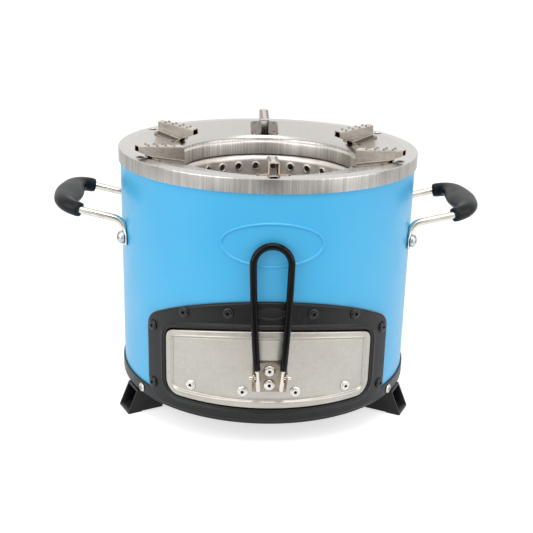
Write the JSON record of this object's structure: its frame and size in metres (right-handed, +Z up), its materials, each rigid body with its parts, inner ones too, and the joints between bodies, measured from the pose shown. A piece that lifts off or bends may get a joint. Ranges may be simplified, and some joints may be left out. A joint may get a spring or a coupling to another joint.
{
  "type": "charcoal stove",
  "caption": "Portable charcoal stove: insulated round sheet-steel body with pot supports over a perforated firebox, a front ash drawer with a folding pull, side handles and feet.",
  "frame": {"origin": "centre of the bounding box's base, on the floor under the feet", "axes": "+X to the right of a viewer who faces the front, across the side handles; -Y out of the front with the ash drawer; +Z up"},
  "size_m": [0.4232, 0.3236, 0.2692],
  "materials": {
    "blue_paint": "sky-blue satin powder coat",
    "brushed_cover": "brushed stainless steel",
    "firebox_steel": "plain stainless steel, dulled",
    "cast_grate": "raw cast iron",
    "ceramic_wool": "pressed ceramic-fibre wool",
    "galvanised_sheet": "galvanised sheet steel",
    "black_paint": "black satin powder coat",
    "satin_stainless": "satin stainless steel",
    "bright_plating": "bright zinc or nickel plating",
    "bright_aluminium": "bright aluminium",
    "dark_screw": "dark steel",
    "black_sleeve": "glossy black plastic",
    "black_grip": "satin black moulded plastic"
  },
  "bodies": {
    "stove": {"outer_shell": "blue_paint", "top_ring": "brushed_cover", "flame_collar": "brushed_cover", "support_front": "brushed_cover", "support_front_right": "brushed_cover", "support_rear_right": "brushed_cover", "support_rear": "brushed_cover", "support_rear_left": "brushed_cover", "support_front_left": "brushed_cover", "combustion_chamber": "firebox_steel", "insulation": "ceramic_wool", "deck_plate": "galvanised_sheet", "guide_left": "galvanised_sheet", "guide_right": "galvanised_sheet", "base_pan": "black_paint", "door_frame": "black_paint", "foot_front_left": "black_paint", "foot_front_right": "black_paint", "foot_rear": "black_paint", "frame_rivet_1": "black_paint", "frame_rivet_2": "black_paint", "frame_rivet_3": "black_paint", "frame_rivet_4": "black_paint", "frame_rivet_5": "black_paint", "frame_rivet_6": "black_paint", "frame_rivet_7": "black_paint", "frame_rivet_8": "black_paint", "side_handle_left": "bright_plating", "side_handle_right": "bright_plating", "foot_screw_front_left": "bright_plating", "foot_screw_front_right": "bright_plating", "foot_screw_rear": "bright_plating", "handle_screw_right_front": "bright_plating", "handle_screw_right_rear": "bright_plating", "handle_screw_left_front": "bright_plating", "handle_screw_left_rear": "bright_plating", "ring_screw_front": "dark_screw", "ring_screw_front_right": "dark_screw", "ring_screw_rear_right": "dark_screw", "ring_screw_rear": "dark_screw", "ring_screw_rear_left": "dark_screw", "ring_screw_front_left": "dark_screw", "side_grip_left": "black_grip", "side_grip_right": "black_grip"},
    "drawer": {"drawer_front": "satin_stainless", "ash_tray": "galvanised_sheet", "handle_bracket": "satin_stainless", "handle_pin": "bright_plating", "tray_rivet_1": "bright_aluminium", "tray_rivet_2": "bright_aluminium", "tray_rivet_3": "bright_aluminium", "tray_rivet_4": "bright_aluminium", "bracket_rivet_1": "bright_aluminium", "bracket_rivet_2": "bright_aluminium"},
    "handle": {"pull_handle": "bright_plating", "handle_sleeve": "black_sleeve"},
    "grate": {"charcoal_grate": "cast_grate"}
  },
  "joints": [
    {"name": "drawer_slide", "type": "slide", "parent": "stove", "child": "drawer", "axis": [0, -1, 0], "range_m": [0, 0.17]},
    {"name": "handle_hinge", "type": "hinge", "parent": "drawer", "child": "handle", "pos_m": [0, -0.15675, 0.0783], "axis": [1, 0, 0], "range_deg": [0, 42]},
    {"name": "grate_lift", "type": "slide", "parent": "stove", "child": "grate", "axis": [0, 0, 1], "range_m": [0, 0.15]}
  ]
}
